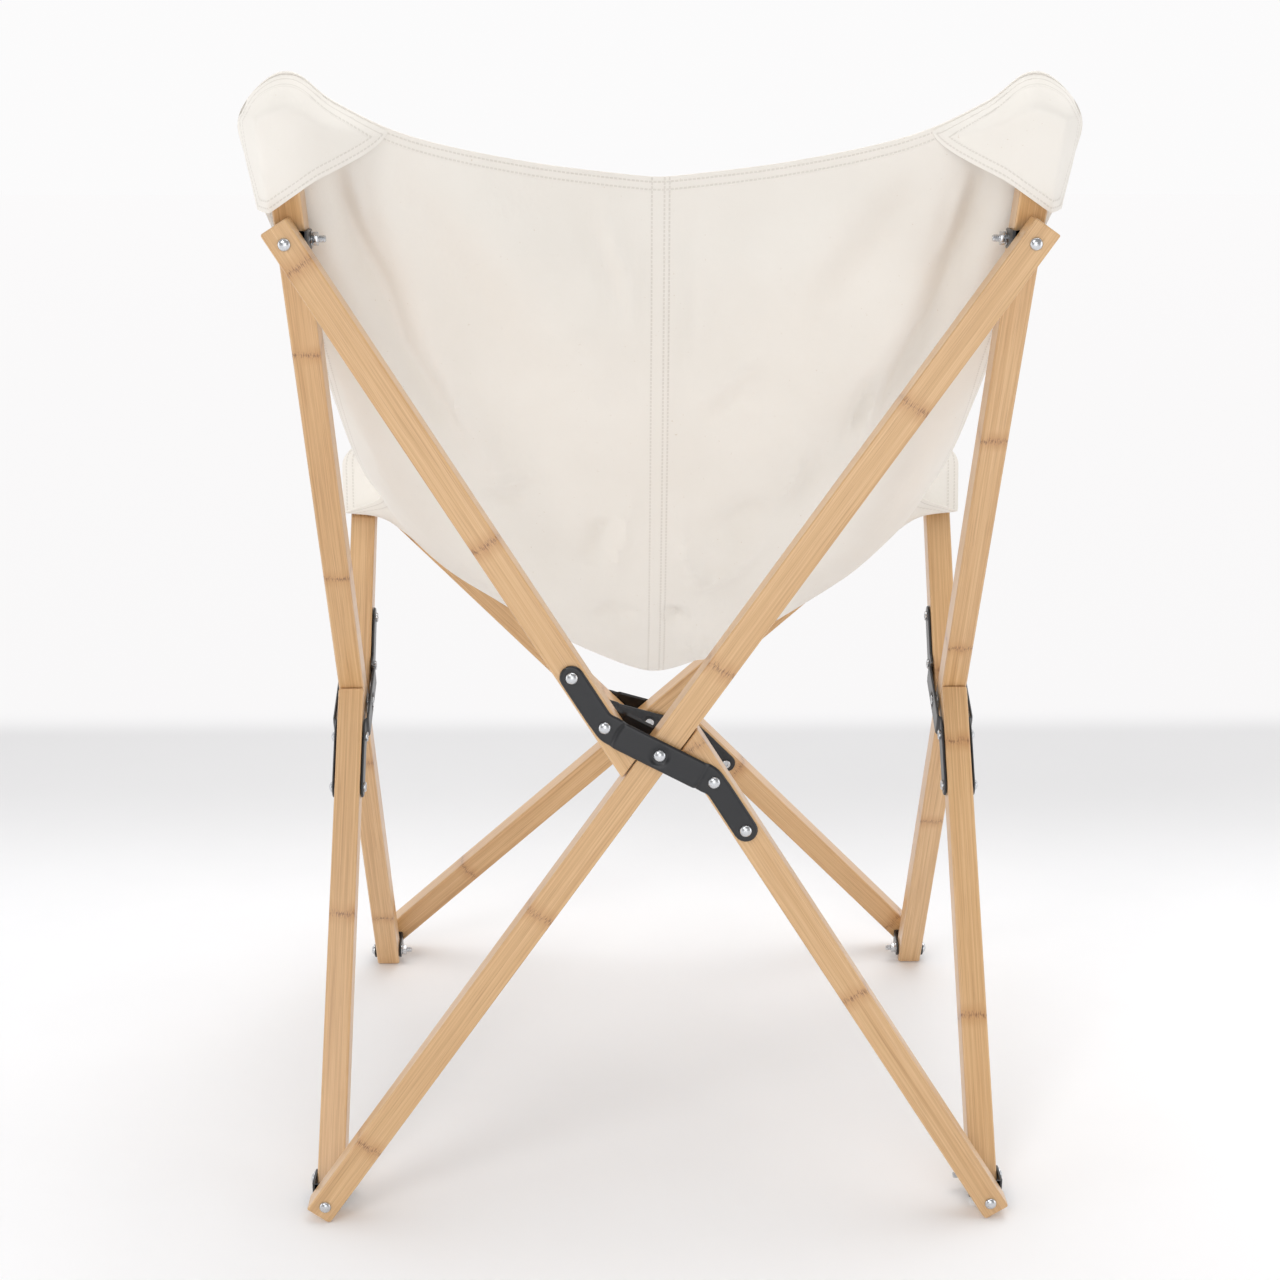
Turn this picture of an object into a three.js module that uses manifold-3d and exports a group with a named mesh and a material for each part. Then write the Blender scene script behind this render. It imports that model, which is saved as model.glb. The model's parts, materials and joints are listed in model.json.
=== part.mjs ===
// Butterfly sling chair. Four scissor frames of square bamboo bars stand back, front, left and right.
// Each has one whole bar and one bar split in two halves. A pair of cranked plates holds the halves
// beside the pivot. Steel forks join the frames at eight corners, and a canvas sling hangs on four tips.
// Millimetres, +Z up. The sitter faces -Y, so +X is the sitter's left.
// The origin is on the floor, under the middle.
import * as THREE from "three";
import { mergeVertices } from "three/addons/utils/BufferGeometryUtils.js";
import Module from "manifold-3d";

const wasm = await Module();
wasm.setup();

// The skeleton: hinge lines of the eight corners
const hinge_width = 580; // between the left and right side frames' middle planes
const foot_depth = 505; // from the back corners to the bottom front corners
const back_height = 828; // from the bottom corners up to the top back corners
const front_arm_rise = 176; // from a side pivot up to the top front corners
const hinge_height = 15; // from the floor up to the bottom corners
const side_pivot_share = 0.43; // how far up its whole bar a side frame's pivot lies

// Bamboo bars
const bar_width = 24;
const bar_chamfer = 1.4;
const split_offset = 25.4; // from the pivot to each half bar's centre line, so the bars fold side by side
const foot_overrun = 11.5; // past the corner hinge, before the floor cut
const end_overrun = 7; // past a corner hinge where the bar neither stands nor carries the sling
const head_overrun = 16; // of the back bars, past the top back corners
const back_tip_length = 122; // of the whole side bars, past the top back corners
const front_tip_length = 33; // of the split side bars, past the top front corners

// Clearances
const seat_gap = 0.3; // between faces that touch
const slide_gap = 0.5; // between a fork and the bar that turns in it
const shank_gap = 0.25; // around a bolt in its hole
const loop_gap = 2.6; // around the bolts of the top back corners
const weld_gap = 0.08; // below which the corners of a join are drawn together
const overcut = 5; // how far a cutting shape runs past what it cuts

// Cranked plates
const plate_thickness = 2.5;
const plate_limb_width = 18;
const plate_middle_width = 22;
const plate_raise = 2.2; // of the middle, above the limbs
const plate_ramp_start = 27; // along the middle, from the pivot
const plate_ramp_end = 33;
const near_bolt_reach = 44; // along a half bar, from the point beside the pivot
const far_bolt_reach = 94;
const dish_radius = 9.5;
const dish_depth = 1.2;

// Bolts
const bolt_radius = 3;
const head_radius = 5.2;
const head_height = 2.8;
const nut_width = 10; // across the flats
const nut_height = 5;
const bolt_tip_length = 6; // past the nut
const bolt_tip_chamfer = 1;
const socket_radius = 1.9;
const socket_depth = 1.6;
const pivot_bolt_radius = 4;

// Forks at the corners
const fork_thickness = 2;
const fork_height = 16.5;
const fork_bend = 2.5;
const back_reach = 26; // from the cross bolt to the fork's outer face
const front_top_reach = 29;
const front_low_reach = 25;

// Canvas sling: ribs from its top edge over the seat to its front edge, each from the middle seam to
// the left edge. A point is given across from its hold share of the half width, and along y and z from
// the line between the tips of a side frame's two upper bars, which carry the sling.
const cloth_thickness = 1.8;
const sling_ribs = [
  [
    [0, -125.5, -61.2], [-12, -105.5, -47.2], [-9, -61.5, -25.2],
    [-42, -27.5, 1.8], [-12, -3.5, 24.8], [28, -10.5, 13.8],
  ],
  [
    [0, -76.9, -90.9], [-12, -62.9, -79.9], [-9, -34.9, -60.9],
    [-42, -16.9, -40.9], [-12, -4.9, -28.9], [25, -3.9, -29.9],
  ],
  [
    [0, -38.2, -119.7], [-12, -30.2, -110.7], [-11, -14.2, -92.7],
    [-44, -4.2, -71.7], [-16, 1.8, -57.7], [11, 4.8, -49.7],
  ],
  [
    [0, -5.5, -160.4], [-12, -3.5, -152.4], [-13, -0.5, -132.4],
    [-50, -3.5, -109.4], [-24, -7.5, -96.4], [0, -13.5, -86.4],
  ],
  [
    [0, 17.2, -207.2], [-12, 15.2, -195.2], [-13, 7.2, -169.2],
    [-50, -6.8, -137.2], [-26, -16.8, -117.2], [-4, -26.8, -99.2],
  ],
  [
    [0, 27.8, -256], [-12, 22.8, -236], [-15, 3.8, -198],
    [-54, -18.2, -158], [-30, -30.2, -134], [-8, -42.2, -111],
  ],
  [
    [0, 26.5, -282.7], [-12, 18.5, -243.7], [-15, -7.5, -195.7],
    [-54, -27.5, -158.7], [-33, -37.5, -136.7], [-14, -47.5, -111.7],
  ],
  [
    [0, 11.2, -253.5], [-12, 3.2, -220.5], [-15, -13.8, -178.5],
    [-56, -30.8, -143.5], [-38, -38.8, -121.5], [-22, -44.8, -102.5],
  ],
  [
    [0, 4.8, -194.2], [-12, -0.2, -172.2], [-11, -10.2, -138.2],
    [-50, -14.2, -108.2], [-20, -7.2, -86.2], [19, -10.2, -81.2],
  ],
  [
    [0, 6.5, -123], [-6, 6.5, -113], [2, 10.5, -91],
    [-38, 26.5, -55], [-11, 8.5, 18], [23, 9.5, 20],
  ],
];
const rib_hold_shares = [0, 0.4, 0.7, 1, 1, 1];
const pocket_depth = 31; // between the sling and its pocket patch, across the bar's tip
const patch_thickness = 1.4;
const seam_lip = 2.4; // of a patch's sewn edges, through the sling
const patch_edge_share = 0.025; // of a rib's span, from the sling's end edge to the patch's sewn edge
const column_shares = [0, 0.22, 0.38, 0.47, 0.53, 0.6, 0.66, 0.72, 0.8, 0.95, 1];
const row_count = 17;

// The cloth's main folds on each side: a ridge, and the drape's valley towards the side bars.
// Each follows a line of points across (seam to side edge) and along (back to front) the sling.
const drape_folds = [
  { width: 22, height: 15, line_shares: [[0.5, 0.19], [0.43, 0.26], [0.37, 0.3], [0.22, 0.44]] },
  { width: 17, height: -20, line_shares: [[0.64, 0.03], [0.6, 0.12], [0.56, 0.18], [0.29, 0.43]] },
];
const fold_fade_share = 0.4; // of a fold's length, over which each end runs out
const back_patch = {
  column_shares: [0.47, 0.6, 0.72, 0.8, 0.95, 0.985],
  rise_shares: [0, 0.45, 1, 1, 1, 0],
  depth_share: 1,
};
const front_patch = {
  column_shares: [0.6, 0.72, 0.8, 0.95, 0.985],
  rise_shares: [0, 1, 1, 1, 0],
  depth_share: 0.1,
};
const patch_row_shares = [0, 0.04, 0.5, 1];

const bar_half = bar_width / 2;
const half_width = hinge_width / 2;
const v2 = (x, y) => new THREE.Vector2(x, y);
const v3 = (x, y, z) => new THREE.Vector3(x, y, z);

const bamboo = () =>
  new THREE.MeshStandardMaterial({ color: 0xd9a86c, roughness: 0.5, metalness: 0 });
const black_steel = () =>
  new THREE.MeshStandardMaterial({ color: 0x1b1b1d, roughness: 0.45, metalness: 0.6 });
const zinc = () =>
  new THREE.MeshStandardMaterial({ color: 0xbfc1c4, roughness: 0.3, metalness: 1 });
const canvas = () =>
  new THREE.MeshStandardMaterial({ color: 0xf1ebe2, roughness: 0.9, metalness: 0 });

// Joining and cutting
function solid(geometry) {
  const bare = geometry.index ? geometry.toNonIndexed() : geometry.clone();
  bare.deleteAttribute("normal");
  bare.deleteAttribute("uv");
  const merged = mergeVertices(bare);
  return new wasm.Manifold(
    new wasm.Mesh({
      numProp: 3,
      vertProperties: merged.attributes.position.array,
      triVerts: new Uint32Array(merged.index.array),
    }),
  );
}

function geometryOf(body) {
  const mesh = body.getMesh();
  const geometry = new THREE.BufferGeometry();
  geometry.setAttribute("position", new THREE.BufferAttribute(mesh.vertProperties, 3));
  geometry.setIndex(new THREE.BufferAttribute(mesh.triVerts, 1));
  geometry.computeVertexNormals();
  return geometry;
}

const joined = (...parts) => parts.map(solid).reduce((all, part) => all.add(part));

// Fills what a join has closed off inside
const filled = (body) => body.decompose().reduce((a, b) => (a.volume() > b.volume() ? a : b));

// Basic shapes in a frame's own plane: s along it, t up it, n out of it
function ring(centre, radius, sides) {
  return Array.from({ length: sides }, (_, i) => {
    const turn = ((i + 0.5) / sides) * 2 * Math.PI;
    return v2(centre.x + radius * Math.cos(turn), centre.y + radius * Math.sin(turn));
  });
}

function prism(outline, low, high) {
  const shape = new THREE.Shape(outline);
  const geometry = new THREE.ExtrudeGeometry(shape, { depth: high - low, bevelEnabled: false });
  return geometry.translate(0, 0, low);
}

function capsule(a, b, radius, sides) {
  const along = Math.atan2(b.y - a.y, b.x - a.x);
  const arc = (centre, start) =>
    Array.from({ length: sides + 1 }, (_, i) => {
      const turn = start + (i / sides) * Math.PI;
      return v2(centre.x + radius * Math.cos(turn), centre.y + radius * Math.sin(turn));
    });
  return [...arc(b, along - Math.PI / 2), ...arc(a, along + Math.PI / 2)];
}

// A turned piece on the n axis through a point of the plane, from pairs of radius and n, top first
function turned(profile, centre, sides = 12) {
  const points = profile.map(([r, n]) => v2(r, n)).reverse();
  const geometry = new THREE.LatheGeometry(points, sides);
  return geometry.rotateX(Math.PI / 2).translate(centre.x, centre.y, 0);
}

// Bars

// A bar from a start point along a direction, with chamfered edges and a hole for each bolt
function bar(start, along, low, high, holes) {
  const across = v2(-along.y, along.x);
  const at = (a, b) => start.clone().addScaledVector(along, a).addScaledVector(across, b);
  const c = bar_chamfer;
  const outline = [
    at(low + c, -bar_half),
    at(high - c, -bar_half),
    at(high, c - bar_half),
    at(high, bar_half - c),
    at(high - c, bar_half),
    at(low + c, bar_half),
    at(low, bar_half - c),
    at(low, c - bar_half),
  ];
  const shape = new THREE.Shape(outline);
  shape.holes = holes.map(([a, radius]) => new THREE.Path(ring(at(a, 0), radius, 10)));
  const geometry = new THREE.ExtrudeGeometry(shape, {
    depth: bar_width - 2 * c,
    bevelThickness: c,
    bevelSize: c,
    bevelOffset: -c,
    bevelSegments: 1,
  });
  return geometry.translate(0, 0, c - bar_half);
}

// The half of a split bar that hangs on one hinge and passes the pivot on the side of the point `towards`
function halfBar(hinge, pivot, towards) {
  const reach = pivot.clone().sub(hinge);
  const length = Math.sqrt(reach.lengthSq() - split_offset ** 2);
  const tilt = Math.asin(split_offset / reach.length());
  const whole = towards.clone().sub(pivot).normalize();
  const options = [tilt, -tilt].map((turn) => {
    const along = reach.clone().normalize().rotateAround(v2(0, 0), turn);
    const beside = hinge.clone().addScaledVector(along, length);
    return { along, beside };
  });
  const { along, beside } = options.reduce((a, b) =>
    a.beside.clone().sub(pivot).dot(whole) > b.beside.clone().sub(pivot).dot(whole) ? a : b,
  );
  const cosine = along.dot(whole);
  const sine = Math.sqrt(1 - cosine ** 2);
  const corner = split_offset - Math.sign(cosine) * bar_half;
  const end = length + (corner * cosine - bar_half - seat_gap) / sine;
  const boltAt = (back) => beside.clone().addScaledVector(along, -back);
  return { hinge, along, length, end, near: boltAt(near_bolt_reach), far: boltAt(far_bolt_reach) };
}

// Plates and bolts

const plate_face = bar_half + seat_gap;
const plate_top = plate_face + plate_thickness;

// A cranked plate over a pivot at the plane's origin, on the side of the bars that `side` gives
function crankedPlate(upper, lower, pivot, side) {
  const slab = (outline, low, high) =>
    side > 0 ? prism(outline, low, high) : prism(outline, -high, -low);
  const limb = (half) =>
    slab(capsule(half.far, half.near, plate_limb_width / 2, 8), plate_face, plate_top);
  const middle = slab(
    capsule(upper.near, lower.near, plate_middle_width / 2, 8),
    plate_face,
    plate_top + plate_raise,
  );
  const along = upper.near.clone().sub(lower.near).normalize();
  const far = plate_ramp_end + near_bolt_reach;
  const profile = [
    [-far, 0],
    [-plate_ramp_end, 0],
    [-plate_ramp_start, plate_raise],
    [plate_ramp_start, plate_raise],
    [plate_ramp_end, 0],
    [far, 0],
  ];
  const hat = [
    ...profile.map(([m, rise]) => v2(m, side * (plate_face + rise))),
    ...profile.reverse().map(([m, rise]) => v2(m, side * (plate_top + rise))),
  ];
  const band = prism(hat, -plate_middle_width, plate_middle_width).applyMatrix4(
    new THREE.Matrix4()
      .makeBasis(v3(along.x, along.y, 0), v3(0, 0, 1), v3(along.y, -along.x, 0))
      .setPosition(pivot.x, pivot.y, 0),
  );
  const deep = plate_top + plate_raise + overcut;
  const hole = (centre, radius) => slab(ring(centre, radius, 12), plate_face - overcut, deep);
  const dish = slab(ring(pivot, dish_radius, 16), plate_top + plate_raise - dish_depth, deep);
  const plate = joined(limb(upper), limb(lower)).add(solid(middle).intersect(solid(band)));
  const cuts = joined(
    dish,
    hole(pivot, pivot_bolt_radius + shank_gap),
    ...[upper.far, upper.near, lower.near, lower.far].map((p) => hole(p, bolt_radius + shank_gap)),
  );
  return geometryOf(plate.subtract(cuts));
}

// A bolt through the plane, with a domed head outside and a socketed sleeve end inside
function throughBolt(centre, shank, outer, inner) {
  const crown = outer + head_height;
  return turned(
    [
      [0, crown],
      [0.5 * head_radius, crown - 0.15 * head_height],
      [0.87 * head_radius, crown - 0.5 * head_height],
      [head_radius, outer],
      [shank, outer],
      [shank, -inner],
      [0.87 * head_radius, -inner],
      [0.87 * head_radius, -inner - 0.6 * head_height],
      [socket_radius, -inner - 0.6 * head_height],
      [socket_radius, socket_depth - inner - 0.6 * head_height],
      [0, socket_depth - inner - 0.6 * head_height],
    ],
    centre,
  );
}

// A bolt with a domed head outside, and a hexagon nut and the thread's end inside
function nutBolt(outer, inner) {
  const crown = outer + head_height;
  const nut_end = inner + nut_height;
  const shank = turned(
    [
      [0, crown],
      [0.5 * head_radius, crown - 0.15 * head_height],
      [0.87 * head_radius, crown - 0.5 * head_height],
      [head_radius, outer],
      [bolt_radius, outer],
      [bolt_radius, bolt_tip_chamfer - nut_end - bolt_tip_length],
      [bolt_radius - bolt_tip_chamfer, -nut_end - bolt_tip_length],
      [0, -nut_end - bolt_tip_length],
    ],
    v2(0, 0),
  );
  const nut = prism(ring(v2(0, 0), nut_width / Math.sqrt(3), 6), -nut_end, -inner);
  return geometryOf(joined(shank, nut));
}

// A bolt that holds a front bar at an opened corner: it ends just short of the fork
function faceBolt(centre) {
  const face = bar_half + seat_gap;
  return turned(
    [
      [0, face + head_height],
      [0.5 * head_radius, face + 0.85 * head_height],
      [0.87 * head_radius, face + 0.5 * head_height],
      [head_radius, face],
      [bolt_radius, face],
      [bolt_radius, -bar_half],
      [0, -bar_half],
    ],
    centre,
  );
}

// Everything is placed in one group, in frames that share its axes
const chair = new THREE.Group();

function add(parent, name, geometry, material) {
  const mesh = new THREE.Mesh(geometry, material);
  mesh.name = name;
  parent.add(mesh);
  return mesh;
}

function planeGroup(s, t, origin) {
  const group = new THREE.Group();
  const n = s.clone().cross(t);
  group.matrixAutoUpdate = false;
  group.matrix.makeBasis(s, t, n).setPosition(origin);
  chair.add(group);
  return group;
}

function floorCut(geometry) {
  const deep = v3(3 * foot_depth, hinge_height, 2 * bar_width);
  const slab = new THREE.BoxGeometry(deep.x, deep.y, deep.z).translate(0, -hinge_height - deep.y / 2, 0);
  return geometryOf(solid(geometry).subtract(solid(slab)));
}

// One scissor frame. Hinges are points of its plane; tips are the bars' lengths past their top hinges.
function scissor(group, name, hinges, share, options) {
  const { whole_low, whole_high, split_low, split_high } = hinges;
  const { whole_tip, split_tip, stands, split_stands, whole_holes } = options;
  const pivot = whole_low.clone().lerp(whole_high, share);
  const whole = whole_high.clone().sub(whole_low);
  const whole_length = whole.length();
  whole.normalize();
  const hole = bolt_radius + shank_gap;
  const low_end = stands ? foot_overrun : end_overrun;
  const whole_bar = bar(whole_low, whole, -low_end, whole_length + whole_tip, [
    [0, whole_holes.low],
    [share * whole_length, pivot_bolt_radius + shank_gap],
    [whole_length, whole_holes.high],
  ]);
  const upper = halfBar(split_high, pivot, whole_low);
  const lower = halfBar(split_low, pivot, whole_high);
  const half = (piece, overrun) =>
    bar(piece.hinge, piece.along, -overrun, piece.end, [
      [0, hole],
      [piece.length - far_bolt_reach, hole],
      [piece.length - near_bolt_reach, hole],
    ]);
  const lower_bar = half(lower, split_stands ? foot_overrun : end_overrun);
  add(group, `${name}_whole_bar`, stands ? floorCut(whole_bar) : whole_bar, bamboo());
  add(group, `${name}_upper_bar`, half(upper, split_tip), bamboo());
  add(group, `${name}_lower_bar`, split_stands ? floorCut(lower_bar) : lower_bar, bamboo());
  add(group, `${name}_outer_plate`, crankedPlate(upper, lower, pivot, 1), black_steel());
  add(group, `${name}_inner_plate`, crankedPlate(upper, lower, pivot, -1), black_steel());
  const seat = plate_top + seat_gap;
  const dish = seat + plate_raise - dish_depth;
  add(group, `${name}_pivot_bolt`, throughBolt(pivot, pivot_bolt_radius, dish, dish), zinc());
  const bolts = {
    upper_far: upper.far,
    upper_near: upper.near,
    lower_near: lower.near,
    lower_far: lower.far,
  };
  for (const [place, centre] of Object.entries(bolts))
    add(group, `${name}_${place}_bolt`, throughBolt(centre, bolt_radius, seat, seat), zinc());
}

// A fork: x along the cross bolt, y from it out to the frame that it carries, z up that frame
function fork(reach, stud) {
  const inner = bar_half + slide_gap;
  const outer = inner + fork_thickness;
  const round = fork_height / 2;
  const bend = fork_bend;
  const profile = [
    v2(outer, -round),
    v2(outer, reach - bend),
    v2(outer - bend * (1 - Math.SQRT1_2), reach - bend * (1 - Math.SQRT1_2)),
    v2(outer - bend, reach),
    v2(bend - outer, reach),
    v2(bend * (1 - Math.SQRT1_2) - outer, reach - bend * (1 - Math.SQRT1_2)),
    v2(-outer, reach - bend),
    v2(-outer, -round),
    v2(-inner, -round),
    v2(-inner, reach - fork_thickness),
    v2(inner, reach - fork_thickness),
    v2(inner, -round),
  ];
  const channel = solid(prism(profile, -round, round));
  const side = capsule(v2(0, 0), v2(reach + round, 0), round, 8);
  const across = new THREE.Matrix4().makeBasis(v3(0, 1, 0), v3(0, 0, 1), v3(1, 0, 0));
  const ears = solid(prism(side, -outer - overcut, outer + overcut).applyMatrix4(across));
  const hole = prism(ring(v2(0, 0), bolt_radius + shank_gap, 12), -outer - overcut, outer + overcut);
  const body = channel.intersect(ears).subtract(solid(hole.applyMatrix4(across)));
  if (!stud) return geometryOf(body);
  const face = reach + bar_width + 2 * seat_gap;
  const pin = turned(
    [
      [0, face + head_height],
      [0.5 * head_radius, face + 0.85 * head_height],
      [0.87 * head_radius, face + 0.5 * head_height],
      [head_radius, face],
      [bolt_radius, face],
      [bolt_radius, reach - fork_thickness / 2],
      [0, reach - fork_thickness / 2],
    ],
    v2(0, 0),
  ).applyMatrix4(new THREE.Matrix4().makeBasis(v3(0, 0, 1), v3(1, 0, 0), v3(0, 1, 0)));
  return geometryOf(body.add(solid(pin)));
}

// Side view of the skeleton: y and z of the corner hinges
const back_low = v2(0, 0);
const back_top = v2(0, back_height);
const front_low = v2(-foot_depth, 0);
const side_pivot = front_low.clone().lerp(back_top, side_pivot_share);
const front_height = side_pivot.y + front_arm_rise;
const front_top = side_pivot.clone().multiplyScalar(front_height / side_pivot.y);

// The side bars' tips, which carry the sling
const back_rise_dir = back_top.clone().sub(front_low).normalize();
const front_rise_dir = halfBar(front_top, side_pivot, front_low).along.clone().negate();
const back_tip = back_top.clone().addScaledVector(back_rise_dir, back_tip_length);
const front_tip = front_top.clone().addScaledVector(front_rise_dir, front_tip_length);

// The front frame's plane keeps its two reaches from the front corners
const front_span = front_top.clone().sub(front_low);
const reach_turn = Math.asin((front_top_reach - front_low_reach) / front_span.length());
const front_up = front_span.clone().normalize().rotateAround(v2(0, 0), reach_turn);
const front_out = v2(-front_up.y, front_up.x);
const front_rise = front_span.dot(front_up);

function buildFrames() {
  const fit = bolt_radius + shank_gap;
  const plain_holes = { low: fit, high: fit };
  const back_plane = back_reach + seat_gap + bar_half;
  const back = planeGroup(v3(-1, 0, 0), v3(0, 0, 1), v3(0, back_plane, hinge_height));
  const back_hinges = {
    whole_low: v2(-half_width, 0),
    whole_high: v2(half_width, back_height),
    split_low: v2(half_width, 0),
    split_high: v2(-half_width, back_height),
  };
  const still = { whole_tip: end_overrun, split_tip: end_overrun };
  const heads = { whole_tip: head_overrun, split_tip: head_overrun };
  const stand = { stands: true, split_stands: true, whole_holes: plain_holes };
  scissor(back, "back", back_hinges, 0.5, { ...heads, ...stand });

  const front_plane = front_low_reach + seat_gap + bar_half;
  const front_origin = v3(
    0,
    front_low.x + front_out.x * front_plane,
    front_low.y + front_out.y * front_plane + hinge_height,
  );
  const front = planeGroup(v3(1, 0, 0), v3(0, front_up.x, front_up.y), front_origin);
  const front_hinges = {
    whole_low: v2(half_width, 0),
    whole_high: v2(-half_width, front_rise),
    split_low: v2(-half_width, 0),
    split_high: v2(half_width, front_rise),
  };
  scissor(front, "front", front_hinges, 0.5, { ...still, whole_holes: plain_holes });
  add(front, "front_top_right_face_bolt", faceBolt(front_hinges.whole_high), zinc());
  add(front, "front_top_left_face_bolt", faceBolt(front_hinges.split_high), zinc());
  add(front, "front_bottom_right_face_bolt", faceBolt(front_hinges.split_low), zinc());

  for (const [name, side] of [["left", 1], ["right", -1]]) {
    const group = planeGroup(v3(0, side, 0), v3(0, 0, 1), v3(side * half_width, 0, hinge_height));
    const at = (p) => v2(side * p.x, p.y);
    const hinges = {
      whole_low: at(front_low),
      whole_high: at(back_top),
      split_low: at(back_low),
      split_high: at(front_top),
    };
    const whole_holes = { low: fit, high: bolt_radius + loop_gap };
    const tips = { whole_tip: back_tip_length, split_tip: front_tip_length };
    scissor(group, name, hinges, side_pivot_share, { ...tips, stands: true, whole_holes });
  }
}

function buildCorners() {
  const seat = bar_half + slide_gap + fork_thickness + seat_gap;
  const back_up = v2(0, 1);
  const corners = [
    ["bottom_back", back_low, back_reach, v2(1, 0), back_up, true, true],
    ["top_back", back_top, back_reach, v2(1, 0), back_up, true, true],
    ["bottom_front", front_low, front_low_reach, front_out, front_up, true, false],
    ["top_front", front_top, front_top_reach, front_out, front_up, false, false],
  ];
  for (const [place, hinge, reach, out, up, left_stud, right_stud] of corners)
    for (const [name, side] of [["left", 1], ["right", -1]]) {
      const y = v3(0, out.x, out.y);
      const z = v3(0, up.x, up.y);
      const group = new THREE.Group();
      group.matrixAutoUpdate = false;
      group.matrix
        .makeBasis(y.clone().cross(z), y, z)
        .setPosition(side * half_width, hinge.x, hinge.y + hinge_height);
      chair.add(group);
      add(group, `${place}_${name}_fork`, fork(reach, side > 0 ? left_stud : right_stud), black_steel());
      const bolt = add(group, `${place}_${name}_cross_bolt`, nutBolt(seat, seat), zinc());
      const outward = y.clone().cross(z).x * side;
      bolt.rotation.y = (outward * Math.PI) / 2;
    }
}

// The sling's surface: a point for each share across (seam to left edge) and along (back to front)
const smooth = (points) => new THREE.CatmullRomCurve3(points, false, "catmullrom", 0.5);
const sling_out = v2(back_rise_dir.y, -back_rise_dir.x); // behind the chair, at right angles to its back
const rib_curves = sling_ribs.map((rib, i) => {
  const from = back_tip.clone().lerp(front_tip, i / (sling_ribs.length - 1));
  const points = rib.map(([x, y, z], j) => {
    return v3(x + rib_hold_shares[j] * half_width, y + from.x, z + from.y + hinge_height);
  });
  return smooth(points);
});

function smoothPoint(across, along) {
  const last = rib_curves.length - 1;
  const column = rib_curves.map((curve) => curve.getPoint(across));
  const place = along * last;
  const point = v3();
  if (place <= 1) point.lerpVectors(column[0], column[1], place);
  else if (place >= last - 1) point.lerpVectors(column[last - 1], column[last], place - last + 1);
  else smooth(column.slice(1, last)).getPoint((place - 1) / (last - 2), point);
  return point;
}

const fold_lines = drape_folds.map((fold) =>
  fold.line_shares.map(([across, along]) => smoothPoint(across, along)),
);

// How far a fold lifts a point of the sling: most on its line, less across it and towards its ends
function foldHeight(fold, line, point) {
  const lengths = line.slice(1).map((end, i) => end.distanceTo(line[i]));
  const whole = lengths.reduce((sum, length) => sum + length, 0);
  const nearest = v3();
  let best = { off: Infinity, place: 0 };
  let start = 0;
  lengths.forEach((length, i) => {
    const segment = new THREE.Line3(line[i], line[i + 1]);
    segment.closestPointToPoint(point, true, nearest);
    const off = nearest.distanceTo(point);
    if (off < best.off) best = { off, place: start + nearest.distanceTo(line[i]) };
    start += length;
  });
  const to_end = Math.min(best.place, whole - best.place) / (whole * fold_fade_share);
  return fold.height * THREE.MathUtils.smoothstep(to_end, 0, 1) * Math.exp(-((best.off / fold.width) ** 2));
}

// A point of the sling with its folds, which lift it at right angles to the back's slope
function slingPoint(across, along) {
  const point = smoothPoint(Math.abs(across), along);
  const lift = drape_folds.reduce((sum, fold, i) => sum + foldHeight(fold, fold_lines[i], point), 0);
  point.y += lift * sling_out.x;
  point.z += lift * sling_out.y;
  if (across < 0) point.x = -point.x;
  return point;
}

// A closed sheet from a grid of points, half of its thickness on each side
function sheet(grid, thickness) {
  const rows = grid.length;
  const columns = grid[0].length;
  const held = (n, count) => Math.min(Math.max(n, 0), count - 1);
  const near = (i, j) => grid[held(i, rows)][held(j, columns)];
  const normal = (i, j) => {
    const down = near(i + 1, j).clone().sub(near(i - 1, j));
    const right = near(i, j + 1).clone().sub(near(i, j - 1));
    return right.cross(down).normalize();
  };
  const positions = [];
  for (const side of [0.5, -0.5])
    for (let i = 0; i < rows; i++)
      for (let j = 0; j < columns; j++) {
        const point = near(i, j).clone().addScaledVector(normal(i, j), side * thickness);
        positions.push(...point.toArray());
      }
  const index = [];
  const at = (layer, i, j) => (layer * rows + i) * columns + j;
  const quad = (a, b, c, d) => index.push(a, b, c, a, c, d);
  for (let i = 0; i + 1 < rows; i++)
    for (let j = 0; j + 1 < columns; j++) {
      quad(at(0, i, j), at(0, i, j + 1), at(0, i + 1, j + 1), at(0, i + 1, j));
      quad(at(1, i, j), at(1, i + 1, j), at(1, i + 1, j + 1), at(1, i, j + 1));
    }
  const rim = [];
  for (let j = 0; j < columns; j++) rim.push([0, j]);
  for (let i = 1; i < rows; i++) rim.push([i, columns - 1]);
  for (let j = columns - 2; j >= 0; j--) rim.push([rows - 1, j]);
  for (let i = rows - 2; i > 0; i--) rim.push([i, 0]);
  rim.forEach(([i, j], n) => {
    const [k, l] = rim[(n + 1) % rim.length];
    quad(at(0, k, l), at(0, i, j), at(1, i, j), at(1, k, l));
  });
  const geometry = new THREE.BufferGeometry();
  geometry.setAttribute("position", new THREE.Float32BufferAttribute(positions, 3));
  geometry.setIndex(index);
  return geometry;
}

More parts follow.
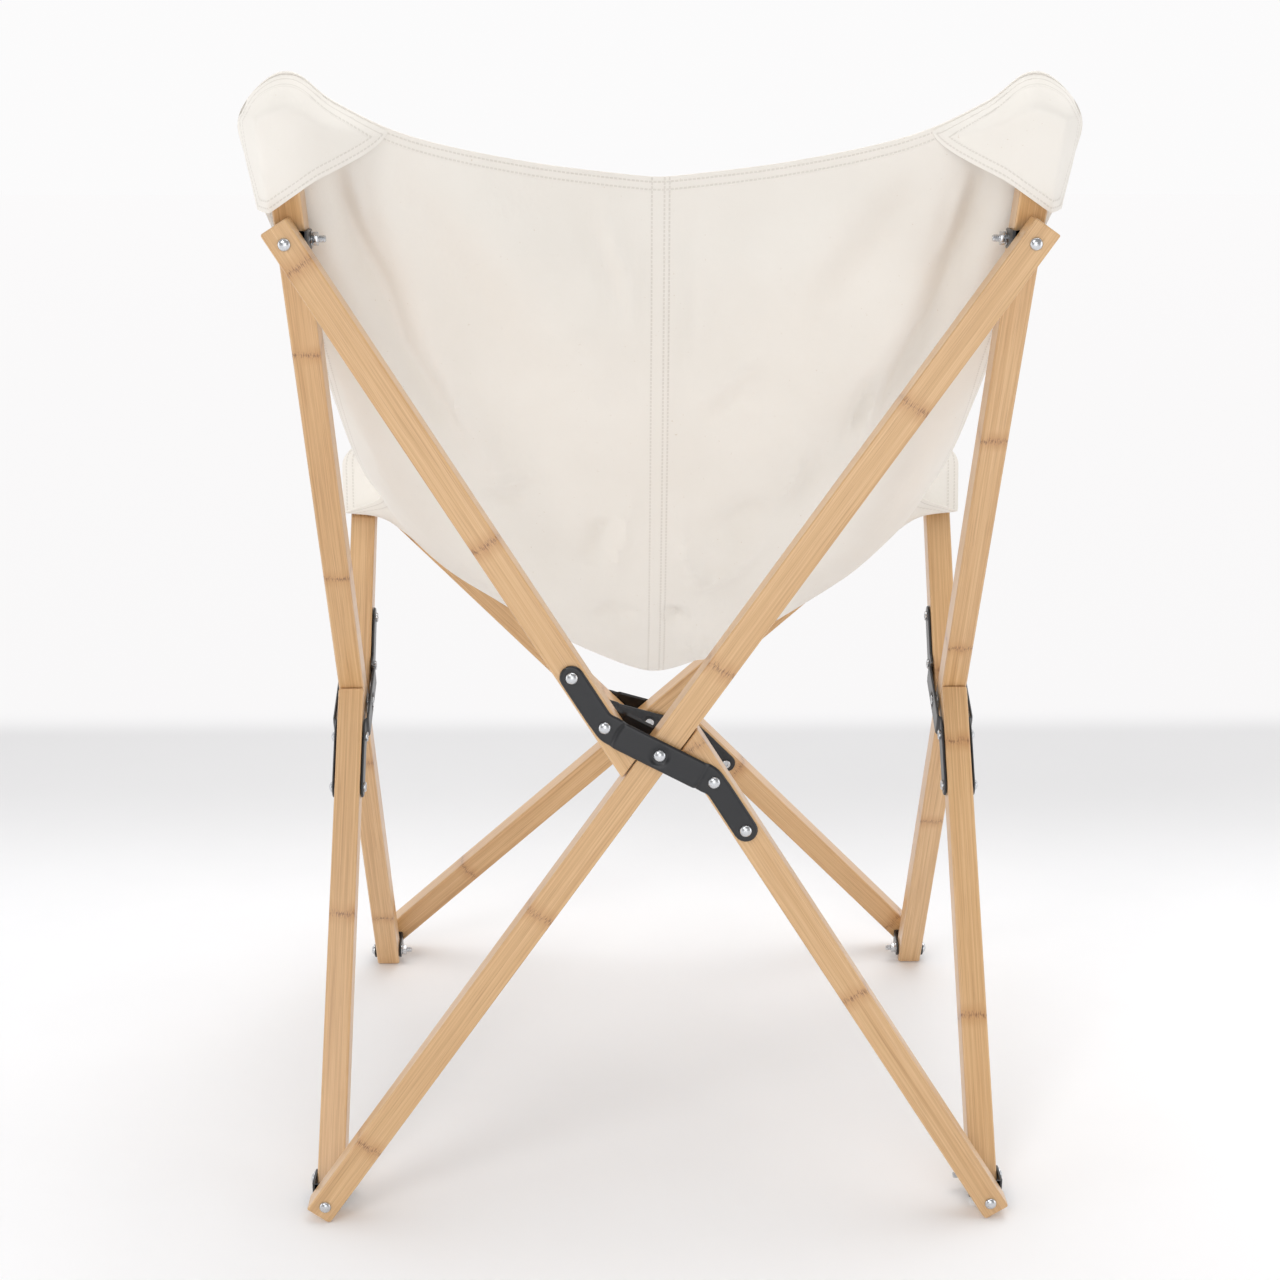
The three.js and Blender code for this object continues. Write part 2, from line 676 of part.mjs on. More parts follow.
// A pocket patch on one side: sewn on near the sling's end and side edges, it stands off over the bar's tip.
// A back patch widens from its inner corner to the sling's side edge.
function pocketPatch(patch, side, end, off) {
  const spans = rib_curves.length - 1;
  const columns = patch.column_shares;
  const inner = columns[0];
  const outward = end === 0 ? side : -side;
  const order = outward > 0 ? columns.map((_, j) => j) : columns.map((_, j) => columns.length - 1 - j);
  const rows = patch_row_shares.map((row, i) =>
    order.map((j) => {
      const outwards = (columns[j] - inner) / (1 - inner);
      const widening = end === 0 ? Math.max(outwards, patch_edge_share) : 1;
      const depth = (patch_edge_share + row * patch.depth_share * widening) / spans;
      const point = slingPoint(side * columns[j], end === 0 ? depth : 1 - depth);
      const rise_share = i === 0 ? 0 : patch.rise_shares[j];
      return point.addScaledVector(off, rise_share === 0 ? -seam_lip : pocket_depth * rise_share);
    }),
  );
  return sheet(rows, patch_thickness);
}

function buildSling() {
  const left = column_shares.slice(1).reverse();
  const across = [...left, ...column_shares.map((share) => -share)];
  const rows = Array.from({ length: row_count + 1 }, (_, i) => i / row_count);
  const points = rows.map((row) => across.map((column) => slingPoint(column, row)));
  const main = sheet(points, cloth_thickness);
  const behind = v3(0, back_rise_dir.y, -back_rise_dir.x);
  const before = v3(0, -front_rise_dir.y, front_rise_dir.x);
  const patches = [1, -1].flatMap((side) => [
    pocketPatch(back_patch, side, 0, behind),
    pocketPatch(front_patch, side, 1, before),
  ]);
  return filled(joined(main, ...patches)).asOriginal().simplify(weld_gap);
}

buildFrames();
buildCorners();
add(chair, "sling", geometryOf(buildSling()), canvas());

// The floor is under the lowest point and the origin under the middle of the box around the chair
chair.updateMatrixWorld(true);
const box = new THREE.Box3().setFromObject(chair, true);
chair.position.set(0, -(box.min.y + box.max.y) / 2, 0);

export default chair;
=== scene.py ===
"""Looks of the butterfly sling chair: bamboo bars, black plates and forks, zinc bolts and a canvas sling.

Metres, +Z up, the sitter faces -Y, +X is the sitter's left.
"""

import json
import math

import bpy
import numpy as np
from mathutils import Matrix, Vector

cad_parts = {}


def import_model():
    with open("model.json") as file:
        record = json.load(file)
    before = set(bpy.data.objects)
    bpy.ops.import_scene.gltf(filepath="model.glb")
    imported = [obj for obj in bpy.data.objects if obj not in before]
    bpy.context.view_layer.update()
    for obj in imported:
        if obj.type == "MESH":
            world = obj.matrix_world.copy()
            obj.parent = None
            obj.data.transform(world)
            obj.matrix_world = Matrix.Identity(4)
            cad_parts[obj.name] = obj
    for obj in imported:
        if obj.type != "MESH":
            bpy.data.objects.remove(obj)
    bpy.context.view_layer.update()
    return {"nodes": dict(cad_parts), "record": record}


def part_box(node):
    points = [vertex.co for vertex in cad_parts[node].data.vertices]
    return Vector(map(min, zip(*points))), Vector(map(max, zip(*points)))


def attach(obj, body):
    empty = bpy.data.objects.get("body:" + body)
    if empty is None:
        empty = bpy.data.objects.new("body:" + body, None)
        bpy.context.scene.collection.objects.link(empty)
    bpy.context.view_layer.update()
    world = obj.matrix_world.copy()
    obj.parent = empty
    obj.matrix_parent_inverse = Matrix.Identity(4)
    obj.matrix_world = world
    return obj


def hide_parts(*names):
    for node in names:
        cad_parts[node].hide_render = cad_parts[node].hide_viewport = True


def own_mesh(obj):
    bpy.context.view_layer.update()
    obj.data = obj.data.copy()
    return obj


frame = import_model()

MM = 0.001

# The skeleton, in millimetres, as in the part's source
HINGE_WIDTH, FOOT_DEPTH, BACK_HEIGHT, FRONT_HEIGHT, HINGE_RISE = 580, 505, 828, 532.04, 15
PIVOT_SHARE, BAR, OFFSET = 0.43, 24, 25.4
FOOT_OVERRUN, END_OVERRUN, HEAD_OVERRUN, BACK_TIP, FRONT_TIP = 11.5, 7, 16, 122, 33
BACK_REACH, FRONT_LOW_REACH, FRONT_TOP_REACH = 26, 25, 29
NEAR_BOLT, FAR_BOLT = 44, 94
SEAT, STEEL = 0.3, 2.5  # the gap under a plate or a head, and how thick plates and forks are
PLATE_TOP = BAR / 2 + SEAT + STEEL
HALF = HINGE_WIDTH / 2


# The back corners' hinge line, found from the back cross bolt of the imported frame
BACK_LINE = sum((Vector(c).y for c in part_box("bottom_back_left_cross_bolt")), 0.0) / 2


def world(x, y, z):
    """A point given from the back corners' hinge line and the bottom hinges, in millimetres."""
    return Vector((x * MM, y * MM + BACK_LINE, (z + HINGE_RISE) * MM))


# ---------- shader helpers ----------


class Value:
    """A number socket; the operators add Math nodes."""

    def __init__(self, shader, socket):
        self.shader, self.socket = shader, socket

    def _math(self, operation, *others, swap=False):
        terms = [self, *others]
        if swap:
            terms.reverse()
        inputs = {i: t.socket if isinstance(t, Value) else t for i, t in enumerate(terms)}
        return Value(self.shader, self.shader.node("Math", {"operation": operation}, inputs)[0])

    def __add__(self, other):
        return self._math("ADD", other)

    __radd__ = __add__

    def __sub__(self, other):
        return self._math("SUBTRACT", other)

    def __rsub__(self, other):
        return self._math("SUBTRACT", other, swap=True)

    def __mul__(self, other):
        return self._math("MULTIPLY", other)

    __rmul__ = __mul__

    def __truediv__(self, other):
        return self._math("DIVIDE", other)

    def fract(self):
        return self._math("FRACT")

    def floor(self):
        return self._math("FLOOR")

    def abs(self):
        return self._math("ABSOLUTE")

    def most(self, other):
        return self._math("MAXIMUM", other)

    def below(self, edge, soft):
        """1 under the edge, falling to 0 over the soft width."""
        inputs = {0: self.socket, 1: edge, 2: edge + soft, 3: 1.0, 4: 0.0}
        settings = {"interpolation_type": "SMOOTHSTEP", "clamp": True}
        return Value(self.shader, self.shader.node("MapRange", settings, inputs)[0])


class Shader:
    """One material; node() is the only way that its nodes are made."""

    def __init__(self, name, **surface):
        self.material = bpy.data.materials.new(name)
        self.material.use_nodes = True
        self.tree = self.material.node_tree
        self.surface = self.tree.nodes["Principled BSDF"]
        for socket, value in surface.items():
            self.surface.inputs[socket.replace("_", " ").title()].default_value = value

    def node(self, kind, settings=None, inputs=None):
        made = self.tree.nodes.new("ShaderNode" + kind)
        for key, value in (settings or {}).items():
            if key == "stops":
                ramp = made.color_ramp
                while len(ramp.elements) < len(value):
                    ramp.elements.new(0.5)
                for element, (place, colour) in zip(ramp.elements, value):
                    element.position, element.color = place, colour
            else:
                setattr(made, key, value)
        for key, value in (inputs or {}).items():
            socket = made.inputs[key]
            if isinstance(value, Value):
                value = value.socket
            if isinstance(value, bpy.types.NodeSocket):
                self.tree.links.new(value, socket)
            else:
                socket.default_value = value
        return made.outputs

    def attribute(self, name):
        return self.node("Attribute", {"attribute_name": name})

    def mix(self, factor, a, b):
        """A colour between two; 6, 7 and 2 are the Mix node's colour sockets."""
        return self.node("Mix", {"data_type": "RGBA"}, {0: factor, 6: a, 7: b})[2]

    def stretch(self, vector, scale):
        return self.node("VectorMath", {"operation": "MULTIPLY"}, {0: vector, 1: scale})[0]

    def white(self, number):
        made = self.node("TexWhiteNoise", {"noise_dimensions": "1D"}, {"W": number})
        return Value(self, made[0])

    def noise(self, vector, scale, detail=3.0, roughness=0.55):
        inputs = {"Vector": vector, "Scale": scale, "Detail": detail, "Roughness": roughness}
        return Value(self, self.node("TexNoise", None, inputs)[0])

    def bump(self, height, strength, distance):
        inputs = {"Height": height, "Strength": strength, "Distance": distance}
        self.feed("Normal", self.node("Bump", None, inputs)[0])

    def feed(self, socket, value):
        if isinstance(value, Value):
            value = value.socket
        self.tree.links.new(value, self.surface.inputs[socket])


STRIP, CANE_NODE = 0.0061, 0.262  # metres: a bamboo strip's width, and between the cane's nodes


def rgb(r, g, b):
    """A colour from 0-255 screen values."""

    def linear(c):
        c /= 255
        return c / 12.92 if c <= 0.04045 else ((c + 0.055) / 1.055) ** 2.4

    return (linear(r), linear(g), linear(b), 1)


def bamboo_material():
    """Laminated bamboo; the grain attribute runs along each bar, in metres from its hinge."""
    shader = Shader("bamboo", roughness=0.42, coat_weight=0.7, coat_roughness=0.3)
    grain = shader.attribute("grain")[1]
    parts = shader.node("SeparateXYZ", None, {0: grain})
    along, across, depth = (Value(shader, p) for p in parts)
    fine = shader.noise(shader.stretch(grain, (6, 800, 800)), 1.0, 4.0, 0.65)
    broad = shader.noise(shader.stretch(grain, (2.2, 110, 110)), 1.0, 2.0)
    tone = shader.white((across / STRIP).floor() + (depth / STRIP).floor() * 3.7)
    wobble = shader.noise(shader.stretch(grain, (30, 160, 160)), 1.0, 3.0)
    # A node of the cane crosses each bar at about every quarter metre, a little apart from strip to strip
    station = along / CANE_NODE + tone * 0.008 + (wobble - 0.5) * 0.012
    near = (station.fract() - 0.5).abs() * CANE_NODE
    ring = near.below(0.0002, 0.0014)
    band = near.below(0.001, 0.004)
    halo = near.below(0.002, 0.012)
    flecks = (shader.noise(shader.stretch(grain, (190, 1100, 1100)), 1.0, 1.5, 0.6) - 0.43).below(0.0, 0.05)
    fibres = (0.64 - shader.noise(shader.stretch(grain, (16, 1700, 1700)), 1.0, 2.0, 0.6)).below(0.0, 0.06)
    stops = ((0.34, rgb(188, 143, 93)), (0.5, rgb(209, 166, 115)), (0.66, rgb(223, 184, 136)))
    base = shader.node("ValToRGB", {"stops": stops}, {0: fine * 0.75 + broad * 0.25})[0]
    base = shader.mix(tone * 0.2, base, rgb(230, 194, 146))
    base = shader.mix(fibres * 0.3, base, rgb(158, 108, 62))
    base = shader.mix(halo * (broad * 1.6 - 0.3) * 0.6, base, rgb(176, 118, 64))
    base = shader.mix(band * flecks * 0.55, base, rgb(120, 74, 40))
    base = shader.mix(ring * (flecks * 0.7 + 0.3) * 0.5, base, rgb(120, 74, 40))
    shader.feed("Base Color", base)
    shader.feed("Roughness", 0.34 + fine * 0.16)
    shader.bump(fine * 0.6 + band * 0.4, 0.2, 0.0004)
    return shader.material


def metal_materials():
    paint = {"base_color": rgb(20, 21, 25), "roughness": 0.36, "coat_weight": 0.2, "coat_roughness": 0.14}
    black = Shader("black_steel", metallic=0.0, **paint)
    grain = shader_vector(black, (900, 900, 900))
    black.bump(black.noise(grain, 1.0, 2.0), 0.06, 0.0003)
    bolt = Shader("zinc", metallic=1.0, roughness=0.24, base_color=rgb(205, 207, 210))
    grain = shader_vector(bolt, (400, 400, 400))
    bolt.feed("Roughness", 0.18 + bolt.noise(grain, 1.0, 2.0) * 0.16)
    return black.material, bolt.material


def shader_vector(shader, scale):
    """Object coordinates, times a scale."""
    return shader.stretch(shader.node("TexCoord")[3], scale)


def canvas_material():
    shader = Shader("canvas", roughness=0.92, base_color=rgb(240, 233, 224))
    shader.surface.inputs["Sheen Weight"].default_value = 0.15
    hem = Value(shader, shader.attribute("hem")[2])
    seam = Value(shader, shader.attribute("seam")[2])
    run = Value(shader, shader.attribute("run")[2])
    down = Value(shader, shader.attribute("down")[2])
    cloth = shader_vector(shader, (1, 1, 1))
    blotch = shader.noise(cloth, 9.0, 3.0)
    fleck = shader.noise(cloth, 420.0, 1.0)
    weave = shader.noise(cloth, 900.0, 2.0, 0.7)
    crumple = shader.noise(cloth, 26.0, 4.0, 0.55)

    def stitches(distance, place, along):
        line = (distance - place).abs().below(0.0005, 0.0005)
        gap = ((along / 0.0036).fract() - 0.5).abs().below(0.32, 0.08)
        return line * gap

    sides = stitches(hem, 0.0042, run).most(stitches(hem, 0.0105, run))
    middle = stitches(seam.abs(), 0.0052, down).most(stitches(seam + 0.0094, 0.0, down))
    thread = sides.most(middle)
    edge = hem.below(0.0115, 0.0012)
    band = (seam + 0.002).abs().below(0.0072, 0.001)
    thick = edge.most(band)
    colour = shader.mix(blotch * 0.75, rgb(242, 238, 231), rgb(228, 222, 213))
    colour = shader.mix((fleck - 0.2).below(0.0, 0.03) * 0.3, colour, rgb(186, 160, 124))
    colour = shader.mix(thread * 0.26, colour, rgb(176, 166, 154))
    shader.feed("Base Color", colour)
    shader.bump(weave * 0.1 + crumple * 2.2 + thick * 0.35 - thread * 0.3, 0.5, 0.0012)
    return shader.material


# ---------- modelling helpers ----------


def deselect():
    if bpy.context.object and bpy.context.object.mode != "OBJECT":
        bpy.ops.object.mode_set(mode="OBJECT")
    bpy.ops.object.select_all(action="DESELECT")


def take(obj):
    deselect()
    obj.select_set(True)
    bpy.context.view_layer.objects.active = obj


def edit_all(obj):
    """Edit mode, with the whole mesh selected."""
    take(obj)
    bpy.ops.object.mode_set(mode="EDIT")
    bpy.ops.mesh.select_all(action="SELECT")


def apply_place(obj):
    take(obj)
    bpy.ops.object.transform_apply(location=True, rotation=True, scale=True)


def modify(obj, kind, **settings):
    take(obj)
    modifier = obj.modifiers.new(kind.lower(), kind)
    for key, value in settings.items():
        setattr(modifier, key, value)
    bpy.ops.object.modifier_apply(modifier=modifier.name)


def finish_piece(obj, material, node, angle=30, flat_faces=False):
    take(obj)
    bpy.ops.object.shade_smooth_by_angle(angle=math.radians(angle))
    if flat_faces:
        modify(obj, "WEIGHTED_NORMAL", keep_sharp=True, weight=100)
    obj.data.materials.clear()
    obj.data.materials.append(material)
    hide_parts(node)
    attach(obj, body_of(node))
    return obj


def body_of(node):
    for body, nodes in frame["record"]["behaviour"]["bodies"].items():
        if node in nodes:
            return body


def axes(origin, x, y, z):
    """A matrix that takes local axes to these, at a point."""
    m = Matrix((x, y, z)).transposed().to_4x4()
    m.translation = origin
    return m


def grid_piece(name, points, place, attributes=None):
    """A grid primitive whose vertices are moved to the given rows of points."""
    rows, columns = points.shape[:2]
    deselect()
    bpy.ops.mesh.primitive_grid_add(x_subdivisions=columns - 1, y_subdivisions=rows - 1, size=1)
    obj = bpy.context.object
    obj.name = name
    co = np.array([v.co for v in obj.data.vertices])
    j = np.rint((co[:, 0] + 0.5) * (columns - 1)).astype(int)
    i = np.rint((co[:, 1] + 0.5) * (rows - 1)).astype(int)
    for v, p in zip(obj.data.vertices, points[i, j]):
        v.co = place(p)
    for key, values in (attributes or {}).items():
        layer = obj.data.attributes.new(key, "FLOAT", "POINT")
        layer.data.foreach_set("value", np.ascontiguousarray(values[i, j], np.float32))
    return obj


# ---------- scissor frames ----------


class Plane:
    """A frame's own plane: s along it, t up it, n out of it; its points are in millimetres."""

    def __init__(self, origin, s, t):
        self.origin, self.s, self.t = origin, Vector(s), Vector(t)
        self.n = self.s.cross(self.t)

    def point(self, p, n=0):
        return self.origin + (self.s * p.x + self.t * p.y + self.n * n) * MM

    def way(self, p):
        return self.s * p.x + self.t * p.y


def half_bar(hinge, pivot, towards):
    """A half bar from its hinge past the pivot: its direction, and the point and length beside the pivot."""
    reach = pivot - hinge
    whole = (towards - pivot).normalized()
    length = math.sqrt(reach.length_squared - OFFSET**2)
    tilt = math.asin(OFFSET / reach.length)
    found = []
    for turn in (tilt, -tilt):
        along = reach.normalized()
        along.rotate(Matrix.Rotation(turn, 2))
        beside = hinge + along * length
        found.append(((beside - pivot).dot(whole), along, beside))
    _, along, beside = max(found, key=lambda f: f[0])
    return along, beside, length, whole


def bar(node, plane, start, along, low, high, cuts=(), seed=0.0):
    deselect()
    bpy.ops.mesh.primitive_cube_add(size=1)
    obj = bpy.context.object
    obj.name = node + "_wood"
    obj.scale = ((high - low) * MM, BAR * MM, BAR * MM)
    obj.location = ((high + low) / 2 * MM, 0, 0)
    apply_place(obj)
    grain = obj.data.attributes.new("grain", "FLOAT_VECTOR", "POINT")
    shift = Vector((seed * 1.37, seed * 0.31, seed * 0.17))
    for v, g in zip(obj.data.vertices, grain.data):
        g.vector = v.co + shift
    across = Vector((-along.y, along.x))
    obj.matrix_world = axes(plane.point(start), plane.way(along), plane.way(across), plane.n)
    apply_place(obj)
    for place, normal in cuts:
        edit_all(obj)
        bpy.ops.mesh.bisect(plane_co=place, plane_no=normal, use_fill=True, clear_outer=True)
        bpy.ops.object.mode_set(mode="OBJECT")
    modify(obj, "BEVEL", width=2.1 * MM, segments=3, limit_method="ANGLE", angle_limit=math.radians(35))
    return finish_piece(obj, BAMBOO, node, angle=40, flat_faces=True)


FLOOR = (Vector((0, 0, 0)), Vector((0, 0, -1)))


def scissor(name, plane, hinges, share, whole_tip, split_tip, stands, split_stands):
    whole_low, whole_high, split_low, split_high = (Vector(h) for h in hinges)
    pivot = whole_low.lerp(whole_high, share)
    whole = whole_high - whole_low
    length = whole.length
    whole.normalize()
    seed = {"back": 1.0, "front": 2.3, "left": 3.1, "right": 4.7}[name]
    feet = FOOT_OVERRUN if stands else END_OVERRUN
    cuts = [FLOOR] if stands else []
    bar(f"{name}_whole_bar", plane, whole_low, whole, -feet, length + whole_tip, cuts, seed)
    halves = {}
    for part, hinge, towards, tip, cut in (
        ("upper", split_high, whole_low, split_tip, False),
        ("lower", split_low, whole_high, END_OVERRUN, split_stands),
    ):
        along, beside, reach, way = half_bar(hinge, pivot, towards)
        # The end is cut along the whole bar's side, a millimetre off it
        side = Vector((-whole.y, whole.x))
        if side.dot(hinge - pivot) < 0:
            side = -side
        cuts = [(plane.point(pivot + side * (BAR / 2 + 1.0)), -plane.way(side))]
        if cut:
            cuts.append(FLOOR)
        overrun = FOOT_OVERRUN if cut else tip
        seed += 0.61
        bar(f"{name}_{part}_bar", plane, hinge, along, -overrun, reach + 60, cuts, seed)
        halves[part] = [beside - along * NEAR_BOLT, beside - along * FAR_BOLT]
        for place, centre in zip(("near", "far"), halves[part]):
            bolt(f"{name}_{part}_{place}_bolt", plane, centre)
    bolt(f"{name}_pivot_bolt", plane, pivot, sunk=True)
    for face, out in (("outer", 1), ("inner", -1)):
        cranked_plate(f"{name}_{face}_plate", plane, halves["upper"], halves["lower"], pivot, out)


# ---------- bolts ----------


def turned(name, stations, sides=28):
    """A turned piece on local Z: a filled circle, extruded and resized from station to station."""
    deselect()
    radius, height = stations[0]
    bpy.ops.mesh.primitive_circle_add(
        vertices=sides, radius=radius * MM, fill_type="NGON", location=(0, 0, height * MM)
    )
    obj = bpy.context.object
    obj.name = name
    apply_place(obj)
    edit_all(obj)
    for next_radius, next_height in stations[1:]:
        rise = (0, 0, (next_height - height) * MM)
        bpy.ops.mesh.extrude_region_move(TRANSFORM_OT_translate={"value": rise})
        k = next_radius / radius
        bpy.ops.transform.resize(value=(k, k, 1), center_override=(0, 0, 0))
        radius, height = next_radius, next_height
    bpy.ops.mesh.select_all(action="SELECT")
    bpy.ops.mesh.normals_make_consistent(inside=False)
    bpy.ops.object.mode_set(mode="OBJECT")
    return obj


HEAD, HEAD_RISE, SHANK, TIP = 5.2, 3.0, 3, 0.3  # mm: radii of a head, a shank and its closed end
STUD_BOTTOM = 0.4


def dome(outer, radius=HEAD, height=HEAD_RISE):
    """A domed head's stations, from its crown down to its rim."""
    steps = [(math.sin(a), math.cos(a)) for a in np.linspace(0.12, math.pi / 2, 7)]
    return [(radius * s, outer + height * c) for s, c in steps]


def through_profile(outer, inner, shank):
    """From the domed head outside to the sleeve's socketed end inside."""
    end = -inner - 1.7
    return dome(outer) + [
        (HEAD, outer),
        (shank, outer),
        (shank, -inner),
        (4.7, -inner),
        (4.7, end + 0.4),
        (4.2, end),
        (2.1, end),
        (2.0, end + 1.5),
        (TIP, end + 1.5),
    ]


PROTOTYPES = {}


def copy_of(key, make):
    """Models a repeated piece once, and gives each use its own mesh."""
    if key not in PROTOTYPES:
        PROTOTYPES[key] = make()
        PROTOTYPES[key].hide_render = True
    obj = PROTOTYPES[key].copy()
    obj.data = PROTOTYPES[key].data.copy()
    obj.hide_render = False
    bpy.context.scene.collection.objects.link(obj)
    return obj


def fastener(node, key, make, place):
    obj = copy_of(key, make)
    obj.name = node + "_turned"
    obj.matrix_world = place
    apply_place(obj)
    return finish_piece(obj, ZINC, node, angle=35)


def bolt(node, plane, centre, sunk=False):
    seat = PLATE_TOP + SEAT + (1.0 if sunk else 0)
    shank = 4 if sunk else SHANK
    place = axes(plane.point(centre), plane.s, plane.t, plane.n)
    fastener(node, ("through", sunk), lambda: turned("bolt", through_profile(seat, seat, shank)), place)


def face_bolt_profile():
    face, end = BAR / 2 + SEAT, 0.5 - BAR / 2
    return dome(face) + [(HEAD, face), (SHANK, face), (SHANK, end), (TIP, end)]


def face_bolt(node, plane, centre):
    place = axes(plane.point(centre), plane.s, plane.t, plane.n)
    fastener(node, "face", lambda: turned("face_bolt", face_bolt_profile()), place)


def cross_bolt_piece():
    seat = BAR / 2 + STEEL + SEAT
    end = -seat - 11
    head, washer = seat + 0.9, -seat - 0.8
    stations = dome(head, 5.0, 2.8) + [(5.0, head), (6.4, head), (6.4, seat), (SHANK, seat)]
    stations += [(SHANK, -seat), (6.2, -seat), (6.2, washer), (SHANK, washer)]
    for turn in range(5):
        stations += [(SHANK, -seat - 5.5 - turn), (2.65, -seat - 6.0 - turn)]
    stations += [(2.2, end), (TIP, end)]
    shank = turned("cross_bolt", stations)
    deselect()
    bpy.ops.mesh.primitive_cylinder_add(
        vertices=6, radius=5.6 * MM, depth=4.4 * MM, location=(0, 0, (-seat - 3.1) * MM)
    )
    nut = bpy.context.object
    apply_place(nut)
    modify(nut, "BEVEL", width=0.5 * MM, segments=2, limit_method="ANGLE", angle_limit=math.radians(50))
    take(nut)
    shank.select_set(True)
    bpy.context.view_layer.objects.active = shank
    bpy.ops.object.join()
    return shank


def cross_bolt(node, place, side):
    ways = Vector((0, side, 0)), Vector((0, 0, 1)), Vector((side, 0, 0))
    fastener(node, "cross", cross_bolt_piece, axes(place, *ways))


# ---------- pressed steel ----------


def plate_line(points, reach=11.0):
    """The plate's middle line, with its two cranks rounded; returns points about a millimetre apart."""
    line = [points[0]]
    for before, corner, after in zip(points, points[1:-1], points[2:]):
        a = corner + (before - corner).normalized() * reach
        b = corner + (after - corner).normalized() * reach
        line += [a.lerp(corner, t).lerp(corner.lerp(b, t), t) for t in np.linspace(0, 1, 15)]
    line.append(points[-1])
    dense = []
    for p, q in zip(line, line[1:]):
        steps = max(int((q - p).length / 1.2), 1)
        dense += [p.lerp(q, k / steps) for k in range(steps)]
    return dense + [line[-1]]


def ease(x):
    x = np.clip(x, 0, 1)
    return x * x * (3 - 2 * x)


PLATE_HALF, PLATE_ROUND = 9, 1.2  # mm: half the strip's width, and the rounding of its edge
PLATE_RAISE, PLATE_DISH, DISH_RADIUS = 2.5, 1.5, 7.4


def cranked_plate(node, plane, upper, lower, pivot, side):
    """A pressed plate: a strip along its middle line, raised between the cranks and dished at the pivot."""
    line = plate_line([upper[1], upper[0], lower[0], lower[1]])
    line = np.array([tuple(p) for p in line])
    way = np.gradient(line, axis=0)
    way /= np.linalg.norm(way, axis=1, keepdims=True)
    middle = (np.array(upper[0]) + np.array(lower[0])) / 2
    reach = np.linalg.norm(np.array(upper[0]) - middle)
    m = np.linalg.norm(line - middle, axis=1)
    width = PLATE_HALF + 2 * ease((reach + 6 - m) / 12)
    turns = np.radians([20, 38, 54, 68, 79, 86])
    round_end = [(PLATE_HALF * math.sin(t), PLATE_HALF * math.cos(t)) for t in turns]
    start = [(line[0] - way[0] * off, way[0], half) for off, half in round_end[::-1]]
    body = list(zip(line, way, width))
    end = [(line[-1] + way[-1] * off, way[-1], half) for off, half in round_end]
    edge = [0, 0.12, 0.35, 0.7, PLATE_ROUND]
    rows = []
    for centre, along, half in start + body + end:
        across = np.array((-along[1], along[0]))
        inner = half - min(PLATE_ROUND, half * 0.4)
        k = (half - inner) / PLATE_ROUND
        offsets = [half - e * k for e in edge]
        offsets += list(np.linspace(inner, -inner, 14)[1:-1])
        offsets += [e * k - half for e in edge[::-1]]
        row = []
        for off in offsets:
            p = centre + across * off
            m = np.linalg.norm(p - middle)
            raised = PLATE_RAISE * (1 - ease((m - (reach - 13)) / 3.4))
            dish = PLATE_DISH * (1 - ease((np.linalg.norm(p - np.array(pivot)) - DISH_RADIUS) / 1.8))
            rim = 1 - min((half - abs(off)) / PLATE_ROUND, 1)
            z = BAR / 2 + SEAT + STEEL / 2 + raised - dish - 0.9 * (1 - math.sqrt(1 - rim * rim))
            row.append((p[0], p[1], z * side))
        rows.append(row)
    points = np.array(rows)
    obj = grid_piece(node + "_pressed", points, lambda p: plane.point(Vector(p[:2]), p[2]))
    modify(obj, "SOLIDIFY", thickness=2.3 * MM, offset=0)
    face_out(obj)
    return finish_piece(obj, BLACK, node, angle=50)


def face_out(obj):
    edit_all(obj)
    bpy.ops.mesh.normals_make_consistent(inside=False)
    bpy.ops.object.mode_set(mode="OBJECT")


def corner_fork(node, place, reach, out, up, stud):
    """A bent fork: a merged copy of its solid, without the stud, and with its edges rounded."""
    source = frame["nodes"][node]
    obj = source.copy()
    obj.data = source.data.copy()
    obj.name = node + "_bent"
    for key in list(obj.keys()):
        del obj[key]
    bpy.context.scene.collection.objects.link(obj)
    obj.parent = None
    obj.matrix_world = source.matrix_world
    apply_place(obj)
    edit_all(obj)
    bpy.ops.mesh.remove_doubles(threshold=0.00002)
    bpy.ops.mesh.dissolve_limited(angle_limit=math.radians(2))
    if stud:
        cut = place + out * ((reach - 0.01) * MM)
        bpy.ops.mesh.bisect(plane_co=cut, plane_no=out, use_fill=True, clear_outer=True)
    bpy.ops.object.mode_set(mode="OBJECT")
    modify(obj, "BEVEL", width=0.45 * MM, segments=2, limit_method="ANGLE", angle_limit=math.radians(35))
    finish_piece(obj, BLACK, node, angle=40)
    if stud:
        head = copy_of("stud", lambda: turned("stud", stud_profile()))
        head.name = node + "_stud"
        head.matrix_world = axes(place + out * (reach * MM), up.cross(out), up, out)
        apply_place(head)
        take(head)
        bpy.ops.object.shade_smooth_by_angle(angle=math.radians(35))
        head.data.materials.append(ZINC)
        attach(head, body_of(node))


def stud_profile():
    face = BAR + 2 * SEAT
    return dome(face) + [(HEAD, face), (SHANK, face), (SHANK, STUD_BOTTOM), (TIP, STUD_BOTTOM)]


# ---------- canvas sling ----------

